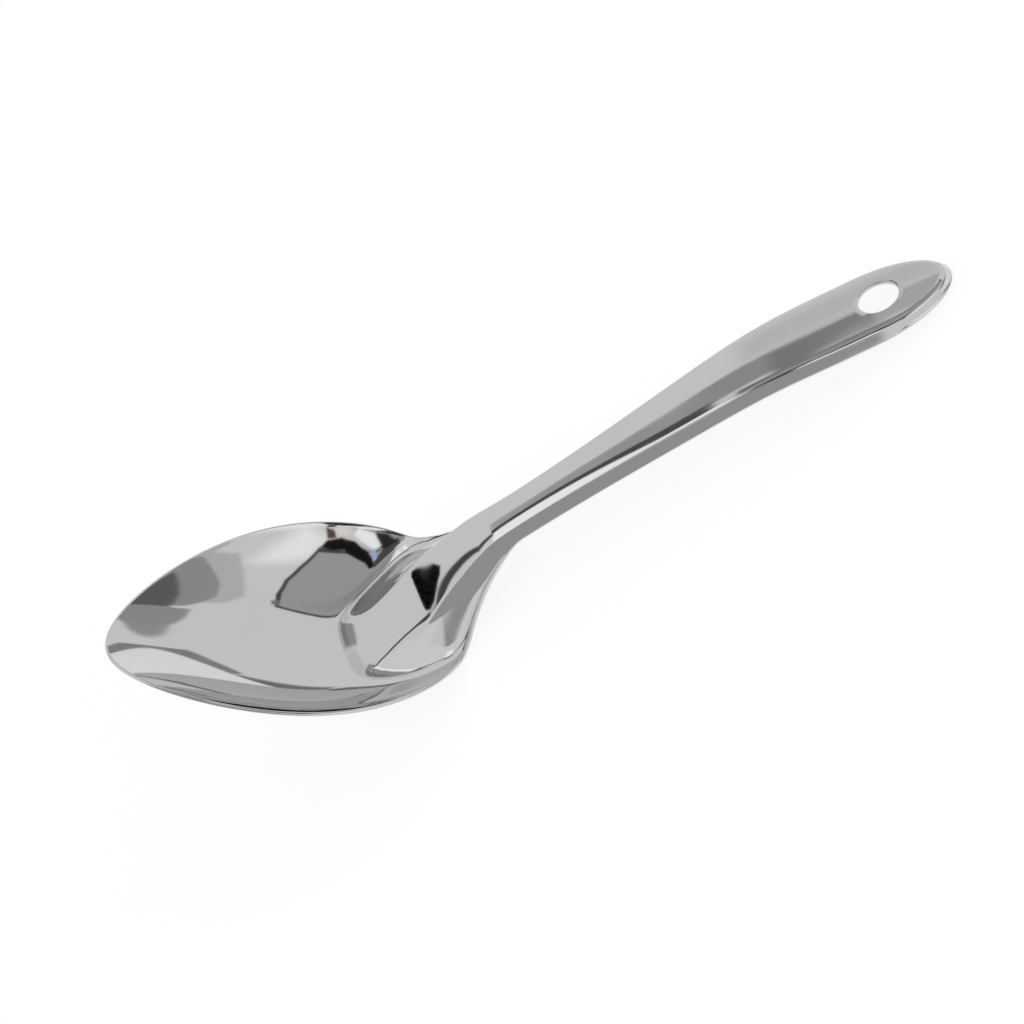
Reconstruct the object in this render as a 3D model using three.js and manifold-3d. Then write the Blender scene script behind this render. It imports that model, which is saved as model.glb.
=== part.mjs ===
// Basting spoon pressed from one stainless steel sheet: dished bowl, crowned channel handle and hang hole.
// The bowl frame has X along the spoon from the bowl's tip, Y across it and Z up from the plane of the rim.
// The finished group lies at rest on the bowl's back and the handle's end, with the floor at Z = 0.
import * as THREE from "three";
import { mergeVertices } from "three/addons/utils/BufferGeometryUtils.js";
import Module from "manifold-3d";

// Driving dimensions in millimetres and degrees
const SHEET_THICKNESS = 1.1;

// Bowl: its mouth, its depth under the rim and the power of the wall's curve from the floor up
const BOWL_WIDTH = 72.4;
const BOWL_DEPTH = 16;
const BOWL_FRONT_LENGTH = 59.5;
const BOWL_HEEL_LENGTH = 39.4;
const BOWL_TIP_RADIUS = 11.4;
const WALL_POWER = 1.2;

// Neck: the blank flares out of it into the bowl's heel, and the sheet's edge climbs to it
const NECK_WIDTH = 15.6;
const NECK_ANGLE = 51.3;
const NECK_BEND_BLEND = 4;
const FLARE_ANGLE = 57.3;
const FLARE_LENGTH = 17.6;
const HEEL_RISE_LENGTH = 19.7;
const HEEL_RISE_ANGLE = 56.3;
const HEEL_BLEND = 5;

// Handle: a channel with a low arched crown between sloping flanks, bent down a little towards its end
const HANDLE_LENGTH = 118;
const HANDLE_ANGLE = 33.4;
const HANDLE_HEIGHT_AT_NECK = 29.5;
const GRIP_WIDTH = 25.6;
const GRIP_FROM_END = 31;
const END_ANGLE = 23.2;
const END_BEND_FROM_END = 53;
const END_BEND_BLEND = 4;
const END_CAP_LENGTH = 24;
const CROWN_HEIGHT_AT_NECK = 5;
const CROWN_HEIGHT_AT_GRIP = 3.7;
const CROWN_ARCH_AT_NECK = 2.8;
const CROWN_ARCH_AT_GRIP = 0.9;
const CROWN_ARCH_RUN = 40;
const FLANK_ANGLE_AT_NECK = 68;
const FLANK_ANGLE_AT_GRIP = 53;
const SHOULDER_BLEND = 1.8;

// Nose: where the crown runs out in the bowl's heel, with a sloping face in front
const NOSE_LENGTH = 24.1;
const NOSE_HEIGHT = 6.5;
const NOSE_FLARE = 3.8;
const NOSE_FRONT = 2.3;
const NOSE_FACE_ANGLE = 58.5;
const NOSE_FILLET = 2;

// Collar: a ramp with sloping sides that climbs from the bowl's floor to the nose's foot and under the neck
const COLLAR_HEIGHT = 1.7;
const COLLAR_ANGLE = 46;
const COLLAR_DEPTH = 7.5;
const COLLAR_INSET = 1;
const COLLAR_SIDE_ANGLE = 41;
const COLLAR_SHOULDER = 5;
const COLLAR_FILLET_AT_NOSE = 10;
const COLLAR_FILLET_AT_NECK = 2;

// Hang hole
const HOLE_FROM_END = 20.3;
const HOLE_LENGTH = 11.8;
const HOLE_WIDTH = 9.8;

// Facets across the sheet, how far they crowd towards the crown's foot, and facets along each stretch
// from the tip to the handle's end and round the hole
const STRIPS = 32;
const STRIP_CROWDING = 1.5;
const FRONT_STEPS = 14;
const HEEL_STEPS = 29;
const GRIP_STEPS = 14;
const END_STEPS = 12;
const HOLE_FACETS = 36;

// Tolerances of the sheet's normals, of the joined vertices and of the search for the resting angle
const NORMAL_STEP = 0.01;
const JOIN_DISTANCE = 1e-4;
const REST_TOLERANCE = 1e-9;

const slopeOf = (degrees) => Math.tan(THREE.MathUtils.degToRad(degrees));
const bowlHalf = BOWL_WIDTH / 2;
const neckHalf = NECK_WIDTH / 2;
const gripHalf = GRIP_WIDTH / 2;

// Stations along X. The flare starts where the heel's ellipse has turned in by the flare's angle.
const flareReach = (slopeOf(FLARE_ANGLE) * BOWL_HEEL_LENGTH) / (bowlHalf - neckHalf);
const flareAt = BOWL_FRONT_LENGTH + (BOWL_HEEL_LENGTH * flareReach) / Math.hypot(1, flareReach);
const neckAt = flareAt + FLARE_LENGTH;
const noseAt = neckAt - NOSE_LENGTH;
const noseFootAt = noseAt - NOSE_FRONT;
const heelRiseAt = neckAt - HEEL_RISE_LENGTH;
const endAt = neckAt + HANDLE_LENGTH;
const gripAt = endAt - GRIP_FROM_END;
const endBendAt = endAt - END_BEND_FROM_END;
const endCapAt = endAt - END_CAP_LENGTH;
const holeAt = endAt - HOLE_FROM_END;

// The higher or lower of two heights, with the corner between them rounded over the height given as blend.
function roundedMax(a, b, blend) {
  const overlap = Math.max(blend - Math.abs(a - b), 0);
  return Math.max(a, b) + overlap ** 3 / (6 * blend ** 2);
}

function roundedMin(a, b, blend) {
  return -roundedMax(-a, -b, blend);
}

// Half the width of the handle's strip, before its end is rounded.
function stripHalf(x) {
  return neckHalf + (gripHalf - neckHalf) * THREE.MathUtils.smoothstep(x, neckAt, gripAt);
}

// Half the width of the bowl's heel, a quarter ellipse that stands on the neck's width.
function heelHalf(x) {
  const along = (x - BOWL_FRONT_LENGTH) / BOWL_HEEL_LENGTH;
  return neckHalf + (bowlHalf - neckHalf) * Math.sqrt(Math.max(1 - along ** 2, 0));
}

// Half the width of the cut blank, squared, so that it falls to nothing smoothly at both ends.
function blankHalfSquared(x) {
  if (x < BOWL_FRONT_LENGTH) {
    // a cubic that starts with the tip's radius and levels out at the widest place
    const tip = 2 * BOWL_TIP_RADIUS;
    const cubic = (tip * BOWL_FRONT_LENGTH - 2 * bowlHalf ** 2) / BOWL_FRONT_LENGTH ** 3;
    const square = -(tip + 3 * cubic * BOWL_FRONT_LENGTH ** 2) / (2 * BOWL_FRONT_LENGTH);
    return tip * x + square * x ** 2 + cubic * x ** 3;
  }
  if (x < flareAt) return heelHalf(x) ** 2;
  if (x < neckAt) {
    // a curve that leaves the heel at the flare's angle and runs level into the neck
    const t = (x - flareAt) / FLARE_LENGTH;
    const leaving = heelHalf(flareAt) * (1 + 2 * t) - slopeOf(FLARE_ANGLE) * FLARE_LENGTH * t;
    return (leaving * (1 - t) ** 2 + neckHalf * t ** 2 * (3 - 2 * t)) ** 2;
  }
  const beyond = Math.max(x - endCapAt, 0) / END_CAP_LENGTH;
  return stripHalf(x) ** 2 * (1 - beyond ** 2);
}

// Height along the middle of the handle and over its bent end.
function handleTop(x) {
  const handle = (s) => HANDLE_HEIGHT_AT_NECK + slopeOf(HANDLE_ANGLE) * (s - neckAt);
  const end = handle(endBendAt) + slopeOf(END_ANGLE) * (x - endBendAt);
  return roundedMin(handle(x), end, END_BEND_BLEND);
}

// Height of the crown along the middle: up out of the bowl and along the handle.
function crownTop(x) {
  const neck = NOSE_HEIGHT + slopeOf(NECK_ANGLE) * (x - noseAt);
  return roundedMin(neck, handleTop(x), NECK_BEND_BLEND);
}

// A size that passes from its value at the neck to its value at another place on the handle.
function passing(x, atNeck, there, place) {
  return atNeck + (there - atNeck) * THREE.MathUtils.smoothstep(x, neckAt, place);
}

// Height of the crown's top over the sheet's edge.
function crownHeight(x) {
  return passing(x, CROWN_HEIGHT_AT_NECK, CROWN_HEIGHT_AT_GRIP, gripAt);
}

// Half the width of the crown at its foot, which widens from the neck down to the nose.
function crownHalf(x) {
  const flare = THREE.MathUtils.clamp((neckAt - x) / NOSE_LENGTH, 0, 1);
  return stripHalf(x) + NOSE_FLARE * flare ** 2;
}

// The bowl's dish, whose heel climbs to the handle's edge.
function bowlHeight(x, y) {
  const hollow = Math.max(1 - (blankHalfSquared(x) - y ** 2) / bowlHalf ** 2, 0);
  const dish = -BOWL_DEPTH * (1 - hollow ** WALL_POWER);
  const climb = slopeOf(HEEL_RISE_ANGLE) * (x - heelRiseAt);
  const rise = roundedMin(climb, crownTop(x) - crownHeight(x), HEEL_BLEND);
  return dish + roundedMax(0, rise, HEEL_BLEND);
}

// The collar's ramp and its sloping sides.
function collarHeight(x, y) {
  const ramp = COLLAR_HEIGHT + slopeOf(COLLAR_ANGLE) * (x - noseFootAt);
  const line = roundedMin(ramp, handleTop(x) - COLLAR_DEPTH, HEEL_BLEND);
  const beside = roundedMax(Math.abs(y) - (crownHalf(x) - COLLAR_INSET), 0, COLLAR_SHOULDER);
  return line - slopeOf(COLLAR_SIDE_ANGLE) * beside;
}

// The crown's arch between its flanks, with the nose's face in front. The ring is 0 along the middle of the
// crown and 1 at its foot, and the inset is the distance in from the foot.
function crownSurface(x, y) {
  const behind = Math.max(x - endCapAt, 0) / END_CAP_LENGTH;
  const across = y / crownHalf(x);
  const ring = Math.hypot(across, behind);
  const steepness = Math.hypot(across / crownHalf(x), behind / END_CAP_LENGTH);
  const inset = steepness > 0 ? ((1 - ring) * ring) / steepness : crownHalf(x);

  const arch = passing(x, CROWN_ARCH_AT_NECK, CROWN_ARCH_AT_GRIP, neckAt + CROWN_ARCH_RUN);
  const flankSlope = passing(x, slopeOf(FLANK_ANGLE_AT_NECK), slopeOf(FLANK_ANGLE_AT_GRIP), gripAt);
  const flank = crownTop(x) - crownHeight(x) + flankSlope * inset;
  const sides = roundedMin(crownTop(x) - arch * ring ** 2, flank, SHOULDER_BLEND);
  const noseFace = COLLAR_HEIGHT + slopeOf(NOSE_FACE_ANGLE) * (x - noseFootAt);
  return roundedMin(sides, noseFace, SHOULDER_BLEND);
}

// Height of the sheet's upper side.
function upperSide(x, y) {
  const alongNeck = THREE.MathUtils.smoothstep(x, noseFootAt, neckAt);
  const fillet = THREE.MathUtils.lerp(COLLAR_FILLET_AT_NOSE, COLLAR_FILLET_AT_NECK, alongNeck);
  const heel = roundedMax(bowlHeight(x, y), collarHeight(x, y), fillet);
  return roundedMax(heel, crownSurface(x, y), NOSE_FILLET);
}

// A point on the sheet, at a depth below the upper side along its normal.
function sheetPoint(x, y, depth) {
  const rise = upperSide(x + NORMAL_STEP, y) - upperSide(x - NORMAL_STEP, y);
  const tilt = upperSide(x, y + NORMAL_STEP) - upperSide(x, y - NORMAL_STEP);
  const normal = new THREE.Vector3(-rise, -tilt, 2 * NORMAL_STEP).normalize();
  return new THREE.Vector3(x, y, upperSide(x, y)).addScaledVector(normal, -depth);
}

// Stations of the sheet's rows, closer together at the round ends and in the heel.
function rowStations() {
  const list = [0];
  const stretch = (from, to, steps, ease) => {
    for (let i = 1; i <= steps; i++) list.push(from + (to - from) * ease(i / steps));
  };
  const even = (t) => t;
  stretch(0, BOWL_FRONT_LENGTH, FRONT_STEPS, (t) => t ** 2);
  stretch(BOWL_FRONT_LENGTH, neckAt, HEEL_STEPS, even);
  stretch(neckAt, endCapAt, GRIP_STEPS, even);
  stretch(endCapAt, endAt, END_STEPS, (t) => 1 - (1 - t) ** 2);
  return list;
}

// Places across one row: half of the strips lie on the crown where it stands in the bowl's heel.
function rowPlaces(x) {
  const edge = Math.sqrt(Math.max(blankHalfSquared(x), 0));
  const crease = Math.min(crownHalf(x), edge / 2);
  return Array.from({ length: STRIPS + 1 }, (_, j) => {
    const t = (2 * j) / STRIPS - 1;
    const outside = Math.max(2 * Math.abs(t) - 1, 0);
    const inside = 1 - Math.max(1 - 2 * Math.abs(t), 0) ** STRIP_CROWDING;
    return Math.sign(t) * (crease * inside + (edge - crease) * outside);
  });
}

// The closed skin of the sheet: both sides as grids that narrow to a point at each end, and the cut edge.
function sheetGeometry() {
  const rows = rowStations();
  const last = rows.length - 1;
  const points = [];
  const faces = [];
  const side = (depth) =>
    rows.map((x, i) => {
      const places = i === 0 || i === last ? [0] : rowPlaces(x);
      return places.map((y) => points.push(...sheetPoint(x, y, depth).toArray()) / 3 - 1);
    });
  const upper = side(0);
  const lower = side(SHEET_THICKNESS);
  const at = (row, j) => row[Math.min(j, row.length - 1)];
  const triangle = (a, b, c) => {
    if (a !== b && b !== c && c !== a) faces.push(a, b, c);
  };
  const quad = (a, b, c, d) => {
    triangle(a, b, c);
    triangle(a, c, d);
  };
  // the facets are split so that the left half of the spoon mirrors the right
  for (let i = 0; i < last; i++) {
    for (let j = 0; j < STRIPS / 2; j++) {
      quad(at(upper[i + 1], j), at(upper[i + 1], j + 1), at(upper[i], j + 1), at(upper[i], j));
      quad(at(lower[i], j + 1), at(lower[i + 1], j + 1), at(lower[i + 1], j), at(lower[i], j));
    }
    for (let j = STRIPS / 2; j < STRIPS; j++) {
      quad(at(upper[i], j), at(upper[i + 1], j), at(upper[i + 1], j + 1), at(upper[i], j + 1));
      quad(at(lower[i], j), at(lower[i], j + 1), at(lower[i + 1], j + 1), at(lower[i + 1], j));
    }
    quad(at(upper[i], 0), at(lower[i], 0), at(lower[i + 1], 0), at(upper[i + 1], 0));
    quad(at(upper[i], STRIPS), at(upper[i + 1], STRIPS), at(lower[i + 1], STRIPS), at(lower[i], STRIPS));
  }
  const geometry = new THREE.BufferGeometry();
  geometry.setAttribute("position", new THREE.Float32BufferAttribute(points, 3));
  geometry.setIndex(faces);
  return geometry;
}

// The punch for the hang hole, square to the handle's top where the hole is.
function holePunch() {
  const outline = new THREE.Shape().absellipse(0, 0, HOLE_LENGTH / 2, HOLE_WIDTH / 2, 0, 2 * Math.PI);
  const depth = 2 * HOLE_LENGTH;
  const settings = { depth, bevelEnabled: false, curveSegments: HOLE_FACETS };
  const geometry = new THREE.ExtrudeGeometry(outline, settings);
  geometry.translate(0, 0, -depth / 2);
  geometry.rotateY(-THREE.MathUtils.degToRad(END_ANGLE));
  return geometry.translate(holeAt, 0, crownTop(holeAt));
}

const wasm = await Module();
wasm.setup();

function solidOf(geometry) {
  const bare = geometry.clone();
  bare.deleteAttribute("normal");
  bare.deleteAttribute("uv");
  const merged = mergeVertices(bare, JOIN_DISTANCE);
  const vertProperties = new Float32Array(merged.attributes.position.array);
  const triVerts = new Uint32Array(merged.index.array);
  return new wasm.Manifold(new wasm.Mesh({ numProp: 3, vertProperties, triVerts }));
}

function geometryOf(solid) {
  const { vertProperties, triVerts } = solid.getMesh();
  const geometry = new THREE.BufferGeometry();
  geometry.setAttribute("position", new THREE.BufferAttribute(vertProperties, 3));
  geometry.setIndex(new THREE.BufferAttribute(triVerts, 1));
  geometry.computeVertexNormals();
  return geometry;
}

// Lowest height of the points that a test picks, once the spoon has been turned down by an angle.
function lowest(position, angle, picked) {
  let low = Infinity;
  for (let i = 0; i < position.count; i++) {
    const x = position.getX(i);
    if (picked(x)) low = Math.min(low, position.getZ(i) * Math.cos(angle) - x * Math.sin(angle));
  }
  return low;
}

// The angle at which the bowl's back and the handle's end touch the floor together.
function restAngle(position) {
  let less = 0;
  let more = THREE.MathUtils.degToRad(NECK_ANGLE);
  while (more - less > REST_TOLERANCE) {
    const angle = (less + more) / 2;
    const bowl = lowest(position, angle, (x) => x < neckAt);
    const handle = lowest(position, angle, (x) => x > neckAt);
    if (handle > bowl) less = angle;
    else more = angle;
  }
  return less;
}

const polishedSteel = new THREE.MeshStandardMaterial({ color: 0xc9c8c6, roughness: 0.08, metalness: 1 });
const punched = solidOf(sheetGeometry()).subtract(solidOf(holePunch()));
const spoon = new THREE.Mesh(geometryOf(punched), polishedSteel);
spoon.name = "pressed_spoon";
spoon.rotation.y = restAngle(spoon.geometry.attributes.position);
const reach = new THREE.Box3().setFromObject(spoon, true);
spoon.position.set(-(reach.min.x + reach.max.x) / 2, 0, -reach.min.z);

const bastingSpoon = new THREE.Group();
bastingSpoon.name = "basting_spoon";
bastingSpoon.add(spoon);
export default bastingSpoon;
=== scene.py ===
import math
import bpy
import numpy as np
from mathutils import Matrix, Vector


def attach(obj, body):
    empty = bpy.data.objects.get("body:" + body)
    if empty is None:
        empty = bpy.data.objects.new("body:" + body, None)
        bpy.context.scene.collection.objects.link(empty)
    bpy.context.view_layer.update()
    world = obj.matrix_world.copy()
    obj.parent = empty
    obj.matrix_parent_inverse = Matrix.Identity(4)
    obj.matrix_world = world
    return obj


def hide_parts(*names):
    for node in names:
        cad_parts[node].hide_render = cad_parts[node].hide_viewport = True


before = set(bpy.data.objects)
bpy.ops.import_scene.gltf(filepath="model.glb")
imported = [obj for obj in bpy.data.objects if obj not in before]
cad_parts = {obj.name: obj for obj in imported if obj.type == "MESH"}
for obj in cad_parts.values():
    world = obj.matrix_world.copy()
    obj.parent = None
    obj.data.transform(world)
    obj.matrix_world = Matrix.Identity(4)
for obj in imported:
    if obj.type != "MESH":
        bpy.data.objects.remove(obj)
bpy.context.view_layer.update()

MM = 0.001

# Pressed spoon
# One blank of stainless steel sheet, cut to its outline and punched for the hang hole, with the edges
# tumbled round. A press then dishes the bowl and raises the crown of the handle, which runs out as a
# nose in the bowl's heel, and the whole spoon is polished to a mirror.
SHEET_THICKNESS = 1.1 * MM
EDGE_RADIUS = 0.25 * MM

BOWL_HALF = 36.2 * MM
BOWL_FRONT_LENGTH = 59.5 * MM
BOWL_HEEL_LENGTH = 39.4 * MM
BOWL_TIP_RADIUS = 11.4 * MM
NECK_HALF = 7.8 * MM
FLARE_SLOPE = math.tan(math.radians(57.3))
FLARE_LENGTH = 17.6 * MM
HANDLE_LENGTH = 118 * MM
GRIP_HALF = 12.8 * MM
GRIP_FROM_END = 31 * MM
END_CAP_LENGTH = 24 * MM
HOLE_FROM_END = 20.3 * MM
HOLE_HALF_LENGTH = 5.9 * MM
HOLE_HALF_WIDTH = 4.9 * MM

# the sizes that the press works to, which are the named inputs of its node tree
PRESS = {
    "bowl depth": 16 * MM,
    "wall power": 1.2,
    "neck slope": math.tan(math.radians(51.3)),
    "neck bend": 4 * MM,
    "heel rise length": 19.7 * MM,
    "heel rise slope": math.tan(math.radians(56.3)),
    "heel blend": 5 * MM,
    "handle height at neck": 29.5 * MM,
    "handle slope": math.tan(math.radians(33.4)),
    "end bend from end": 53 * MM,
    "end slope": math.tan(math.radians(23.2)),
    "end bend": 4 * MM,
    "crown height at neck": 5.0 * MM,
    "crown height at grip": 3.7 * MM,
    "crown arch at neck": 1.2 * MM,
    "crown arch at grip": 0.9 * MM,
    "arch run": 40 * MM,
    "flank slope at neck": math.tan(math.radians(68)),
    "flank slope at grip": math.tan(math.radians(53)),
    "shoulder blend": 1.8 * MM,
    "nose length": 24.1 * MM,
    "nose height": 6.5 * MM,
    "nose flare": 3.8 * MM,
    "nose front": 2.3 * MM,
    "nose face slope": math.tan(math.radians(58.5)),
    "nose fillet": 2 * MM,
    "collar inset": 1 * MM,
    "collar side slope": math.tan(math.radians(41)),
    "collar shoulder": 5 * MM,
    "collar depth": 7.5 * MM,
    "collar height": 1.7 * MM,
    "collar slope": math.tan(math.radians(46)),
    "collar fillet at nose": 10 * MM,
    "collar fillet at neck": 2 * MM,
}

flare_reach = FLARE_SLOPE * BOWL_HEEL_LENGTH / (BOWL_HALF - NECK_HALF)
flare_at = BOWL_FRONT_LENGTH + BOWL_HEEL_LENGTH * flare_reach / math.hypot(1, flare_reach)
neck_at = flare_at + FLARE_LENGTH
end_at = neck_at + HANDLE_LENGTH
grip_at = end_at - GRIP_FROM_END
end_cap_at = end_at - END_CAP_LENGTH
hole_at = end_at - HOLE_FROM_END


class Wire:
    """A socket of a node tree: arithmetic on it adds Math nodes, and node() adds any other node."""

    def __init__(self, tree, socket):
        self.tree = tree
        self.socket = socket

    def node(self, kind, settings, inputs, output=0):
        made = self.tree.nodes.new(kind)
        for name, value in settings.items():
            setattr(made, name, value)
        for name, value in inputs.items():
            if isinstance(value, Wire):
                self.tree.links.new(value.socket, made.inputs[name])
            else:
                made.inputs[name].default_value = value
        return Wire(self.tree, made.outputs[output])

    def math(self, operation, *values):
        return self.node("ShaderNodeMath", {"operation": operation}, dict(enumerate(values)))

    def __add__(self, other):
        return self.math("ADD", self, other)

    def __sub__(self, other):
        return self.math("SUBTRACT", self, other)

    def __rsub__(self, other):
        return self.math("SUBTRACT", other, self)

    def __mul__(self, other):
        return self.math("MULTIPLY", self, other)

    def __truediv__(self, other):
        return self.math("DIVIDE", self, other)

    def __rtruediv__(self, other):
        return self.math("DIVIDE", other, self)

    def __pow__(self, other):
        return self.math("POWER", self, other)

    def __neg__(self):
        return self.math("MULTIPLY", self, -1)

    def __abs__(self):
        return self.math("ABSOLUTE", self)

    __radd__ = __add__
    __rmul__ = __mul__


def larger(a, b):
    """The larger of two values, which are both plain numbers or arrays, or of which one is a Wire."""
    wire = next((value for value in (a, b) if isinstance(value, Wire)), None)
    return wire.math("MAXIMUM", a, b) if wire else np.maximum(a, b)


def smaller(a, b):
    return -larger(-a, -b)


def rounded_max(a, b, blend):
    overlap = larger(blend - abs(a - b), 0)
    return larger(a, b) + overlap * overlap * overlap / (6 * blend * blend)


def rounded_min(a, b, blend):
    return -rounded_max(-a, -b, blend)


def smooth(value, start, end):
    t = smaller(larger((value - start) / (end - start), 0), 1)
    return t * t * (3 - 2 * t)


def chosen_before(x, place, before, after):
    """One value before a place along the spoon and another after it."""
    mask = x.math("LESS_THAN", x, place) if isinstance(x, Wire) else np.less(x, place)
    return before * mask + after * (1 - mask)


def strip_half(x):
    return NECK_HALF + (GRIP_HALF - NECK_HALF) * smooth(x, neck_at, grip_at)


def heel_half(x):
    along = (x - BOWL_FRONT_LENGTH) / BOWL_HEEL_LENGTH
    return NECK_HALF + (BOWL_HALF - NECK_HALF) * larger(1 - along * along, 0) ** 0.5


def blank_half_squared(x):
    """Half the width of the cut blank, squared: the bowl's front and heel, the flare and the handle."""
    tip = 2 * BOWL_TIP_RADIUS
    cubic = (tip * BOWL_FRONT_LENGTH - 2 * BOWL_HALF**2) / BOWL_FRONT_LENGTH**3
    square = -(tip + 3 * cubic * BOWL_FRONT_LENGTH**2) / (2 * BOWL_FRONT_LENGTH)
    front = x * (tip + x * (square + x * cubic))
    heel = heel_half(x)
    t = (x - flare_at) / FLARE_LENGTH
    leaving = float(heel_half(flare_at)) * (1 + 2 * t) - FLARE_SLOPE * FLARE_LENGTH * t
    flare = leaving * (1 - t) * (1 - t) + NECK_HALF * t * t * (3 - 2 * t)
    beyond = larger(x - end_cap_at, 0) / END_CAP_LENGTH
    strip = strip_half(x)
    strip_squared = strip * strip * (1 - beyond * beyond)
    behind_bowl = chosen_before(x, neck_at, flare * flare, strip_squared)
    behind_front = chosen_before(x, flare_at, heel * heel, behind_bowl)
    return chosen_before(x, BOWL_FRONT_LENGTH, front, behind_front)


# the flat blank: straight rows across it, closest at both ends and at the neck
ROWS = 270
STRIPS = 164
ROW_BUNCHING = 0.85
CROWN_STRIPS = 0.7
CROWN_BAND = 13 * MM
OUTLINE_STEP = 1e-3 * MM
u = np.arange(ROWS + 1) / ROWS
row_x = end_at * (u - ROW_BUNCHING * np.sin(4 * np.pi * u) / (4 * np.pi))
row_half = np.sqrt(np.maximum(blank_half_squared(row_x), 0))
row_half[[0, ROWS]] = 0
turn = blank_half_squared(row_x + OUTLINE_STEP) - blank_half_squared(row_x - OUTLINE_STEP)
outward = np.stack([-turn / (4 * OUTLINE_STEP), row_half], axis=1)
outward[0] = (-1, 0)
outward[ROWS] = (1, 0)
outward /= np.linalg.norm(outward, axis=1)[:, None]

# the rounded corner of a cut edge: how far in from the edge and how deep each of its rings lies
corner = [
    (EDGE_RADIUS * (1 - math.sin(a)), EDGE_RADIUS * (1 - math.cos(a))) for a in np.radians([0, 30, 60, 90])
]
EDGE_RINGS = corner + [(inset, SHEET_THICKNESS - depth) for inset, depth in reversed(corner)]

# the punched hole takes the place of a block of the grid's cells, whose rim is drawn to the oval
HOLE_EASE = 2.4
end_slope_angle = math.atan(PRESS["end slope"])
hole_axes = np.array([HOLE_HALF_LENGTH * math.cos(end_slope_angle), HOLE_HALF_WIDTH])
hole_rows = np.abs(np.subtract.outer(hole_at + hole_axes[0] * np.array([-1, 1]), row_x)).argmin(axis=1)
hole_reach = int(round(STRIPS / 2 * hole_axes[1] / float(strip_half(hole_at))))
hole_strips = (STRIPS // 2 - hole_reach, STRIPS // 2 + hole_reach)
block_half = np.array([np.ptp(hole_rows) / 2, hole_reach])
block_middle = np.array([np.mean(hole_rows), STRIPS / 2])


def hole_offset(i, j):
    """Where a grid corner lies from the hole's middle, in half sizes of the block."""
    return (np.array([i, j]) - block_middle) / block_half


def grid_place(i, j):
    """The place on the blank of one corner of the grid, in from the edge by the edge's radius."""
    half = row_half[i] - EDGE_RADIUS * outward[i, 1]
    share = 2 * j / STRIPS - 1
    crease = min(CROWN_BAND, CROWN_STRIPS * half)
    within = min(abs(share) / CROWN_STRIPS, 1)
    beyond = max((abs(share) - CROWN_STRIPS) / (1 - CROWN_STRIPS), 0)
    across = math.copysign(crease * within + (half - crease) * beyond, share)
    plain = np.array([row_x[i] - EDGE_RADIUS * outward[i, 0], across])
    offset = hole_offset(i, j)
    ring = np.abs(offset).max()
    if not 0 < ring < HOLE_EASE:
        return plain
    drawn = (hole_at, 0) + (hole_axes + EDGE_RADIUS) * offset * ring / np.hypot(*offset)
    return drawn + (plain - drawn) * smooth(ring, 1, HOLE_EASE)


points = []
faces = []


def add_point(place, depth):
    points.append((place[0], place[1], -depth))
    return len(points) - 1


def in_hole(i, j):
    return hole_rows[0] <= i < hole_rows[1] and hole_strips[0] <= j < hole_strips[1]


def grid_side(depth):
    """One side of the sheet: its corner numbers by row, with a single corner at each end."""
    rows = []
    for i in range(ROWS + 1):
        if i in (0, ROWS):
            rows.append([add_point(grid_place(i, STRIPS // 2), depth)] * (STRIPS + 1))
        else:
            inside = hole_rows[0] < i < hole_rows[1]
            skipped = range(hole_strips[0] + 1, hole_strips[1]) if inside else ()
            rows.append([
                None if j in skipped else add_point(grid_place(i, j), depth) for j in range(STRIPS + 1)
            ])
    return rows


def add_face(*corners):
    face = tuple(dict.fromkeys(corners))
    if len(face) > 2:
        faces.append(face)


def outer_loop(rows):
    right = [rows[i][STRIPS] for i in range(ROWS)]
    left = [rows[i][0] for i in range(ROWS, 0, -1)]
    return right + left


def hole_loop(rows):
    first, last = hole_rows
    low, high = hole_strips
    loop = [rows[i][high] for i in range(first, last)]
    loop += [rows[last][j] for j in range(high, low, -1)]
    loop += [rows[i][low] for i in range(last, first, -1)]
    return loop + [rows[first][j] for j in range(low, high)]


def join_loops(one, other):
    for k in range(len(one)):
        after = (k + 1) % len(one)
        add_face(one[k], other[k], other[after], one[after])


upper = grid_side(0)
lower = grid_side(SHEET_THICKNESS)
for i in range(ROWS):
    for j in range(STRIPS):
        if not in_hole(i, j):
            add_face(upper[i][j], upper[i + 1][j], upper[i + 1][j + 1], upper[i][j + 1])
            add_face(lower[i][j], lower[i][j + 1], lower[i + 1][j + 1], lower[i + 1][j])

# the outer cut edge
edge = [(row_x[i], row_half[i], *outward[i]) for i in range(ROWS)]
edge += [(row_x[i], -row_half[i], outward[i, 0], -outward[i, 1]) for i in range(ROWS, 0, -1)]
edge = np.array(edge)
loops = [outer_loop(upper)]
for inset, depth in EDGE_RINGS[1:-1]:
    loops.append([add_point(place, depth) for place in edge[:, :2] - inset * edge[:, 2:]])
loops.append(outer_loop(lower))
for one, other in zip(loops, loops[1:]):
    join_loops(other, one)

# the hole's cut edge
rim_places = np.array([points[number][:2] for number in hole_loop(upper)])
rim = (rim_places - (hole_at, 0)) / (hole_axes + EDGE_RADIUS)
loops = [hole_loop(upper)]
for inset, depth in EDGE_RINGS[1:-1]:
    loops.append([add_point(place, depth) for place in (hole_at, 0) + rim * (hole_axes + inset)])
loops.append(hole_loop(lower))
for one, other in zip(loops, loops[1:]):
    join_loops(one, other)

blank = bpy.data.meshes.new("spoon_blank")
blank.from_pydata(points, [], faces)
spoon = bpy.data.objects.new("mirror_polished_spoon", blank)
bpy.context.scene.collection.objects.link(spoon)


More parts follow.
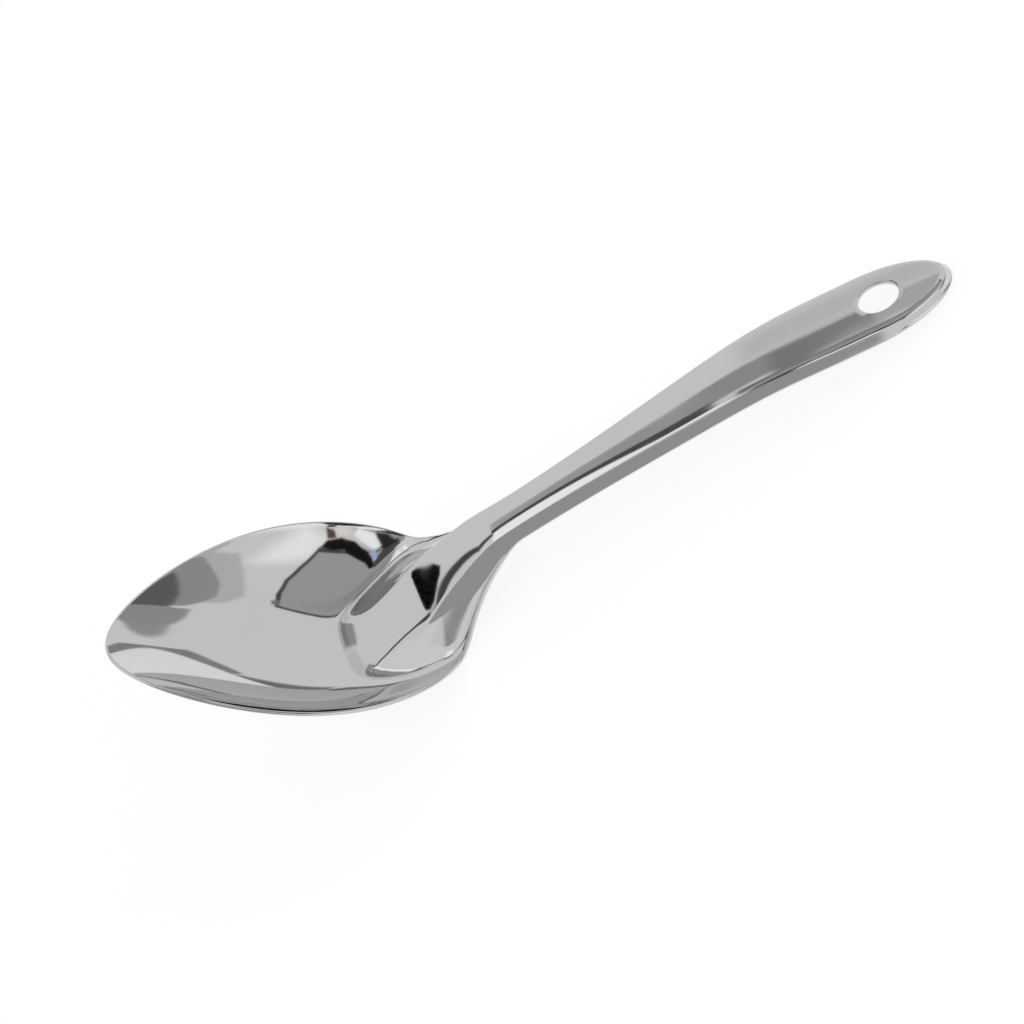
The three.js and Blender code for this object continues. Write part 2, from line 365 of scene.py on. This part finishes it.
# the polished steel: a mirror with a faint polishing haze, drawn along the spoon, and the slight waves
# that the press leaves in the sheet
POLISH_LINES = (90, 1400, 1400)
HAZE_FINENESS = 60.0
WAVE_FINENESS = 38.0
WAVE_DEPTH = 2 * MM
WAVE_SHARE = 0.06
MIRROR_ROUGHNESS = 0.035
HAZE_ROUGHNESS = 0.05
STEEL = (0.60, 0.597, 0.592, 1)
BRIGHT_STEEL = (0.645, 0.641, 0.634, 1)
polished_steel = bpy.data.materials.new("polished_steel")
polished_steel.use_nodes = True
steel_tree = polished_steel.node_tree
steel = steel_tree.nodes["Principled BSDF"]
place = Wire(steel_tree, steel_tree.nodes.new("ShaderNodeTexCoord").outputs["Object"])
along = place.node("ShaderNodeMapping", {}, {"Vector": place, "Scale": POLISH_LINES})
lines = place.node("ShaderNodeTexNoise", {}, {"Vector": along, "Scale": 1.0, "Detail": 4.0}, "Fac")
haze = place.node("ShaderNodeTexNoise", {}, {"Vector": place, "Scale": HAZE_FINENESS, "Detail": 3.0}, "Fac")
waves = place.node("ShaderNodeTexNoise", {}, {"Vector": place, "Scale": WAVE_FINENESS, "Detail": 0.0}, "Fac")
roughness = MIRROR_ROUGHNESS + HAZE_ROUGHNESS * haze * lines
steel_tree.links.new(roughness.socket, steel.inputs["Roughness"])
tint = place.node("ShaderNodeMix", {"data_type": "RGBA"}, {0: haze, 6: STEEL, 7: BRIGHT_STEEL}, 2)
steel_tree.links.new(tint.socket, steel.inputs["Base Color"])
swell = place.node("ShaderNodeBump", {}, {"Strength": WAVE_SHARE, "Distance": WAVE_DEPTH, "Height": waves})
steel_tree.links.new(swell.socket, steel.inputs["Normal"])
steel.inputs["Metallic"].default_value = 1.0


# the pressed height at a place on the blank, as a node group with the press's sizes as its inputs
height_rule = bpy.data.node_groups.new("pressed_height", "GeometryNodeTree")
for name in ("x", "y", *PRESS):
    height_rule.interface.new_socket(name, in_out="INPUT", socket_type="NodeSocketFloat")
height_rule.interface.new_socket("height", in_out="OUTPUT", socket_type="NodeSocketFloat")
rule_in = height_rule.nodes.new("NodeGroupInput")
size = {name: Wire(height_rule, rule_in.outputs[name]) for name in ("x", "y", *PRESS)}
x = size["x"]
y = size["y"]
TINY = 1e-4


def between(name, share):
    return size[name + " at neck"] + (size[name + " at grip"] - size[name + " at neck"]) * share


# height along the middle: up out of the bowl, along the handle and over its end
nose_at = neck_at - size["nose length"]
end_bend_at = end_at - size["end bend from end"]
neck_line = size["nose height"] + size["neck slope"] * (x - nose_at)
handle_line = size["handle height at neck"] + size["handle slope"] * (x - neck_at)
bend_height = size["handle height at neck"] + size["handle slope"] * (end_bend_at - neck_at)
end_line = bend_height + size["end slope"] * (x - end_bend_at)
handle_top = rounded_min(handle_line, end_line, size["end bend"])
top = rounded_min(neck_line, handle_top, size["neck bend"])
along_handle = smooth(x, neck_at, grip_at)
crown_height = between("crown height", along_handle)

# the bowl's dish, whose heel climbs to the handle's edge
hollow = larger(1 - (blank_half_squared(x) - y * y) / BOWL_HALF**2, 0)
dish = size["bowl depth"] * (hollow ** size["wall power"] - 1)
climb = size["heel rise slope"] * (x - (neck_at - size["heel rise length"]))
rise = rounded_min(climb, top - crown_height, size["heel blend"])
bowl = dish + rounded_max(rise, 0, size["heel blend"])

# the collar: a ramp with rounded shoulders round the nose's foot
nose_flare = smaller(larger((neck_at - x) / size["nose length"], 0), 1)
crown_half = strip_half(x) + size["nose flare"] * nose_flare * nose_flare
beyond_nose = x - (nose_at - size["nose front"])
collar_ramp = size["collar height"] + size["collar slope"] * beyond_nose
collar_line = rounded_min(collar_ramp, handle_top - size["collar depth"], size["heel blend"])
collar_side = rounded_max(abs(y) - (crown_half - size["collar inset"]), 0, size["collar shoulder"])
collar = collar_line - size["collar side slope"] * collar_side

# the crown: a low arch between sloping flanks, with rounded shoulders, and a sloping face at the nose
across = y / crown_half
behind = larger(x - end_cap_at, 0) / END_CAP_LENGTH
ring = (across * across + behind * behind + TINY**2) ** 0.5
steepness = ((across / crown_half) ** 2 + (behind / END_CAP_LENGTH) ** 2 + (TINY / crown_half) ** 2) ** 0.5
inset = (1 - ring) * ring / steepness
arch = top - between("crown arch", smooth(x, neck_at, neck_at + size["arch run"])) * ring * ring
flank = top - crown_height + inset * between("flank slope", along_handle)
nose_face = size["collar height"] + size["nose face slope"] * beyond_nose
crown = rounded_min(rounded_min(arch, flank, size["shoulder blend"]), nose_face, size["shoulder blend"])

along_neck = smooth(x, nose_at - size["nose front"], neck_at)
fillet_change = size["collar fillet at neck"] - size["collar fillet at nose"]
heel = rounded_max(bowl, collar, size["collar fillet at nose"] + fillet_change * along_neck)
sheet = rounded_max(heel, crown, size["nose fillet"])
rule_out = height_rule.nodes.new("NodeGroupOutput")
height_rule.links.new(sheet.socket, rule_out.inputs["height"])


# the press: it lifts each point of the blank to the pressed height, along the pressed sheet's normal
NORMAL_STEP = 0.05 * MM
press = bpy.data.node_groups.new("press", "GeometryNodeTree")
press.interface.new_socket("blank", in_out="INPUT", socket_type="NodeSocketGeometry")
press.interface.new_socket("spoon", in_out="OUTPUT", socket_type="NodeSocketGeometry")
for name in PRESS:
    press.interface.new_socket(name, in_out="INPUT", socket_type="NodeSocketFloat")
press_in = press.nodes.new("NodeGroupInput")
press_sizes = {name: Wire(press, press_in.outputs[name]) for name in PRESS}
blank_wire = Wire(press, press_in.outputs["blank"])
flat = blank_wire.node("GeometryNodeInputPosition", {}, {})
flat_x, flat_y, flat_z = (flat.node("ShaderNodeSeparateXYZ", {}, {"Vector": flat}, axis) for axis in "XYZ")


def height_at(place_x, place_y):
    inputs = {"x": place_x, "y": place_y, **press_sizes}
    return flat.node("GeometryNodeGroup", {"node_tree": height_rule}, inputs, "height")


fall_x = height_at(flat_x - NORMAL_STEP, flat_y) - height_at(flat_x + NORMAL_STEP, flat_y)
fall_y = height_at(flat_x, flat_y - NORMAL_STEP) - height_at(flat_x, flat_y + NORMAL_STEP)
slant = flat.node("ShaderNodeCombineXYZ", {}, {"X": fall_x, "Y": fall_y, "Z": 2 * NORMAL_STEP})
normal = flat.node("ShaderNodeVectorMath", {"operation": "NORMALIZE"}, {0: slant})
lifted = flat.node("ShaderNodeCombineXYZ", {}, {"X": flat_x, "Y": flat_y, "Z": height_at(flat_x, flat_y)})
offset = flat.node("ShaderNodeVectorMath", {"operation": "SCALE"}, {0: normal, "Scale": flat_z})
pressed = flat.node("ShaderNodeVectorMath", {"operation": "ADD"}, {0: lifted, 1: offset})
moved = flat.node("GeometryNodeSetPosition", {}, {"Geometry": blank_wire, "Position": pressed})
smoothed = flat.node("GeometryNodeSetShadeSmooth", {}, {"Geometry": moved})
realized = flat.node("GeometryNodeRealizeInstances", {}, {"Geometry": smoothed})
finished = flat.node("GeometryNodeSetMaterial", {}, {"Geometry": realized, "Material": polished_steel})
press_out = press.nodes.new("NodeGroupOutput")
press.links.new(finished.socket, press_out.inputs["spoon"])

modifier = spoon.modifiers.new("press", "NODES")
modifier.node_group = press
for item in press.interface.items_tree:
    if item.name in PRESS:
        modifier[item.identifier] = PRESS[item.name]
pressed_mesh = bpy.data.meshes.new_from_object(spoon.evaluated_get(bpy.context.evaluated_depsgraph_get()))
spoon.modifiers.clear()
spoon.data = pressed_mesh
spoon.data.name = "mirror_polished_spoon"
bpy.data.meshes.remove(blank)

# the spoon lies on the bowl's back and the handle's end, and the middle of its footprint is the origin
REST_TOLERANCE = 1e-9
corners = np.empty(3 * len(pressed_mesh.vertices))
pressed_mesh.vertices.foreach_get("co", corners)
corners = corners.reshape(-1, 3)
in_bowl = corners[:, 0] < neck_at
less, more = 0.0, math.pi / 4
while more - less > REST_TOLERANCE:
    angle = (less + more) / 2
    lowered = corners[:, 2] * math.cos(angle) - corners[:, 0] * math.sin(angle)
    if lowered[~in_bowl].min() > lowered[in_bowl].min():
        less = angle
    else:
        more = angle
resting = Matrix.Rotation(less, 4, "Y")
turned_corners = corners @ np.array(resting.to_3x3()).T
low, high = turned_corners.min(axis=0), turned_corners.max(axis=0)
resting = Matrix.Translation((-(low[0] + high[0]) / 2, 0, -low[2])) @ resting
pressed_mesh.transform(resting)

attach(spoon, "root")
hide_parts("pressed_spoon")

# Floor
# A plain pale sweep of matt board under the spoon. It shows white to the camera and in the steel, and a
# small share of it is lit by the room alone, so that it keeps the spoon's shadow.
FLOOR_SIZE = 6.0
FLOOR_LIT_SHARE = 0.3
FLOOR_GLOW = 0.81
floor_mesh = bpy.data.meshes.new("studio_floor")
reach = FLOOR_SIZE / 2
floor_corners = [(-reach, -reach, 0), (reach, -reach, 0), (reach, reach, 0), (-reach, reach, 0)]
floor_mesh.from_pydata(floor_corners, [], [(0, 1, 2, 3)])
floor = bpy.data.objects.new("studio_floor", floor_mesh)
bpy.context.scene.collection.objects.link(floor)
floor_board = bpy.data.materials.new("floor_board")
floor_board.use_nodes = True
floor_tree = floor_board.node_tree
floor_tree.nodes.remove(floor_tree.nodes["Principled BSDF"])
path = Wire(floor_tree, floor_tree.nodes.new("ShaderNodeLightPath").outputs["Is Camera Ray"])
glossy = Wire(floor_tree, path.socket.node.outputs["Is Glossy Ray"])
through = Wire(floor_tree, path.socket.node.outputs["Is Transmission Ray"])
seen = larger(larger(path, glossy), through)
shadowed = path.node("ShaderNodeBsdfDiffuse", {}, {"Color": (FLOOR_LIT_SHARE,) * 3 + (1,)})
glow = path.node("ShaderNodeEmission", {}, {"Color": (1, 1, 1, 1), "Strength": seen * FLOOR_GLOW})
board = path.node("ShaderNodeAddShader", {}, {0: shadowed, 1: glow})
floor_tree.links.new(board.socket, floor_tree.nodes["Material Output"].inputs["Surface"])
floor_mesh.materials.append(floor_board)

# Studio light
# The steel mirrors a soft studio: pale walls, a grey ceiling panel in a dark frame, a long beam and strip
# light over the handle, and the dark camera with its lamp. The camera itself sees plain white.
world = bpy.data.worlds.new("studio")
bpy.context.scene.world = world
world.use_nodes = True
world_tree = world.node_tree
sky = Wire(world_tree, world_tree.nodes.new("ShaderNodeTexCoord").outputs["Generated"])
east, north, height = (sky.node("ShaderNodeSeparateXYZ", {}, {"Vector": sky}, axis) for axis in "XYZ")

# a plan of the sky, measured in degrees from straight overhead to the east and to the north
off_zenith = sky.math("ARCCOSINE", height) * math.degrees(1)
spread = off_zenith / larger((east * east + north * north) ** 0.5, TINY)
plan = sky.node("ShaderNodeCombineXYZ", {}, {"X": spread * east, "Y": spread * north, "Z": 1.0})


def mixed(factor, one, other):
    colour = lambda value: value if isinstance(value, Wire) else (*value, 1)
    return sky.node("ShaderNodeMix", {"data_type": "RGBA"}, {0: factor, 6: colour(one), 7: colour(other)}, 2)


def patch(corners, soft):
    """A soft-edged patch of the plan, inside all the lines from corner to corner."""
    sides = list(zip(corners, corners[1:] + corners[:1]))
    turn = math.copysign(1, sum(a[0] * b[1] - b[0] * a[1] for a, b in sides))
    inside = None
    for a, b in sides:
        across = turn * Vector((a[1] - b[1], b[0] - a[0])).normalized()
        line = (*across, -across.dot(Vector(a)))
        depth = plan.node("ShaderNodeVectorMath", {"operation": "DOT_PRODUCT"}, {0: plan, 1: line}, "Value")
        inside = plan.math("MINIMUM", inside, depth) if inside else depth
    limits = {"Value": inside, "From Min": -soft, "From Max": soft}
    return plan.node("ShaderNodeMapRange", {"interpolation_type": "SMOOTHSTEP"}, limits)


def grey(level):
    return (level, level, level)


# each patch: what it is, its colour, how soft its edge is, and its corners on the plan
WALLS = grey(0.84)
PATCHES = [
    ("far sheen", grey(0.70), 3, [(-6, 43), (12, 43), (12, 52), (-6, 52)]),
    ("front wall", grey(0.42), 4, [(-60, -30), (8, -30), (8, -100), (-60, -100)]),
    ("front wall's top", grey(0.40), 4, [(-14, -40), (8, -40), (8, -8), (-14, -8)]),
    ("lit wall", grey(1.15), 5, [(22, -39), (36, -33), (60, -36), (50, -44), (30, -52)]),
    ("panel's frame", grey(0.08), 0.5,
     [(29, -38), (41, -30), (50, -22), (56, -11), (57.5, 0), (20.5, 32), (-8, 33), (-8, -14)]),
    ("panel", grey(0.45), 0.5,
     [(30, -35.5), (40, -28.4), (48.5, -20.8), (53.5, -11),
      (55.8, -0.8), (20, 30.4), (-8.3, 31.6), (-8.3, -14)]),
    ("panel's far side", grey(0.36), 9, [(-8, 8), (40, 4), (20, 24), (-8, 26)]),
    ("camera's stand", grey(0.09), 1, [(-8, -3), (6, -2), (7, -14), (-2, -22), (-8, -17)]),
    ("camera's foot", grey(0.03), 0.8, [(-8, -14), (0, -18), (3, -24), (1.5, -31), (-4, -26)]),
    ("camera's near side", grey(0.01), 0.6,
     [(6, -6), (9.5, -8), (13, -21), (12.5, -30), (9, -26), (7.5, -16)]),
    ("camera's middle", grey(0.01), 0.6, [(9, -24), (13, -20), (18.5, -29.5), (17, -37.5), (12, -33)]),
    ("camera's far side", grey(0.01), 0.6,
     [(14, -33), (18, -29), (24, -34), (30, -37), (24, -40), (17, -38)]),
    ("brown stand", (0.12, 0.07, 0.05), 0.6, [(19.5, -39), (23.5, -40.5), (22, -45.5), (18.5, -43)]),
    ("lamp", (1.2, 1.22, 1.25), 1, [(1.5, -23), (7, -23), (9.5, -31), (12, -36), (8, -38), (2, -31)]),
    ("lamp's blue side", (0.45, 0.60, 0.90), 0.6, [(5, -14), (7.3, -14), (8, -24), (5, -24)]),
    ("lamp's warm side", (1.0, 0.93, 0.88), 0.8, [(11, -37), (17, -39), (19, -43), (14, -42)]),
    ("long beam's near end", grey(0.50), 1.2, [(-13, 35), (-10.5, 35), (-10.5, 41.5), (-13, 41.5)]),
    ("long beam", grey(0.38), 0.5, [(-10.9, 34), (7.3, 34), (7.3, 41), (-10.9, 42.5)]),
    ("long beam's shade", grey(0.28), 2.5, [(-1, 30), (7.3, 30), (7.3, 41), (-1, 41)]),
    ("long beam's end", grey(0.57), 0.6, [(7.3, 34), (12, 34), (12, 42), (7.3, 42)]),
    ("long beam's edge", grey(0.07), 0.3, [(-13, 34.8), (-10.2, 34.8), (-10.2, 31), (-13, 31)]),
    ("strip light", (0.88, 0.90, 0.93), 0.8,
     [(-31, 22), (-13, 31), (-10, 31), (-8, 14), (-6.5, -6), (-31, -12)]),
    ("strip light's core", (1.22, 1.25, 1.30), 0.5, [(-13.2, 30.8), (-10, 30.8), (-8, 8), (-11, 8)]),
    ("strip light's edge", grey(0.08), 0.8, [(-46, 41), (-46, 46.5), (-25, 33.5), (-25, 29.5)]),
    ("strip light's end", grey(0.10), 0.8, [(-25.2, 33.5), (-25.2, 29.5), (-12.4, 29), (-12.4, 32)]),
    ("dark flag", grey(0.0), 0.5, [(-52, 47.2), (-44, 47.2), (-42.6, 49), (-44, 51.6), (-52, 51.6)]),
    ("side wall", grey(0.62), 1.5, [(64, -41), (76, -41), (80, -3), (75, -3.5), (68, -10)]),
    ("side curtain", grey(0.38), 0.6,
     [(75.5, -39), (92, -39), (92, 2), (82.5, 2), (79, -4), (76.3, -9), (74.6, -19), (74.6, -25)]),
    ("side door", grey(0.15), 0.5, [(83.9, 4), (92, 4), (92, -30), (82.6, -24), (83.1, -8)]),
    ("side table", grey(0.37), 0.4, [(81.2, 4), (92, 4), (92, 24), (81.7, 24), (81.2, 10)]),
    ("side table's end", grey(0.38), 0.4, [(81.7, 22), (92, 22), (92, 40), (78.6, 40)]),
    ("side lamp's back", grey(0.25), 0.8, [(55.5, -2), (58.5, -2), (58.5, -6), (55.5, -6)]),
    ("floor's far edge", grey(0.22), 1.5, [(30, 76), (60, 68), (72, 90), (30, 95)]),
    ("floor's side edge", grey(0.30), 0.5, [(56.5, 66.6), (66.8, 56), (74, 62), (62, 73)]),
    ("floor's corner", grey(0.30), 0.5, [(66.8, 56), (73.5, 47.5), (80, 52), (74, 62)]),
]
studio = WALLS
for name, colour, soft, outline in PATCHES:
    studio = mixed(patch(outline, soft), studio, colour)
    studio.socket.node.label = name
light_path = world_tree.nodes.new("ShaderNodeLightPath")
to_camera = Wire(world_tree, light_path.outputs["Is Camera Ray"])
background = world_tree.nodes["Background"]
world_tree.links.new(mixed(to_camera, studio, (1, 1, 1)).socket, background.inputs["Color"])

# Camera
# A long lens some nine metres off, at the photographed angle: above the bowl's near side and turned a
# little about its own axis, so that the handle rises to the right. Its place is given from the bowl.
LENS = 1200.0
FRAME_WIDTH = 275.3 * MM
VIEW_RIGHT = Vector((0.95744, -0.28282, 0.05761))
VIEW_UP = Vector((0.15715, 0.67824, 0.71784))
VIEW_MIDDLE = Vector((113.84, 6.17, 21.4)) * MM
camera_data = bpy.data.cameras.new("camera")
camera_data.lens = LENS
camera_data.clip_end = 100.0
camera = bpy.data.objects.new("camera", camera_data)
bpy.context.scene.collection.objects.link(camera)
back = VIEW_RIGHT.cross(VIEW_UP).normalized()
distance = FRAME_WIDTH * LENS / camera_data.sensor_width
turned = Matrix((VIEW_RIGHT, back.cross(VIEW_RIGHT), back)).transposed().to_4x4()
camera.matrix_world = resting @ Matrix.Translation(VIEW_MIDDLE + back * distance) @ turned
bpy.context.scene.camera = camera
bpy.context.scene.view_settings.view_transform = "Standard"
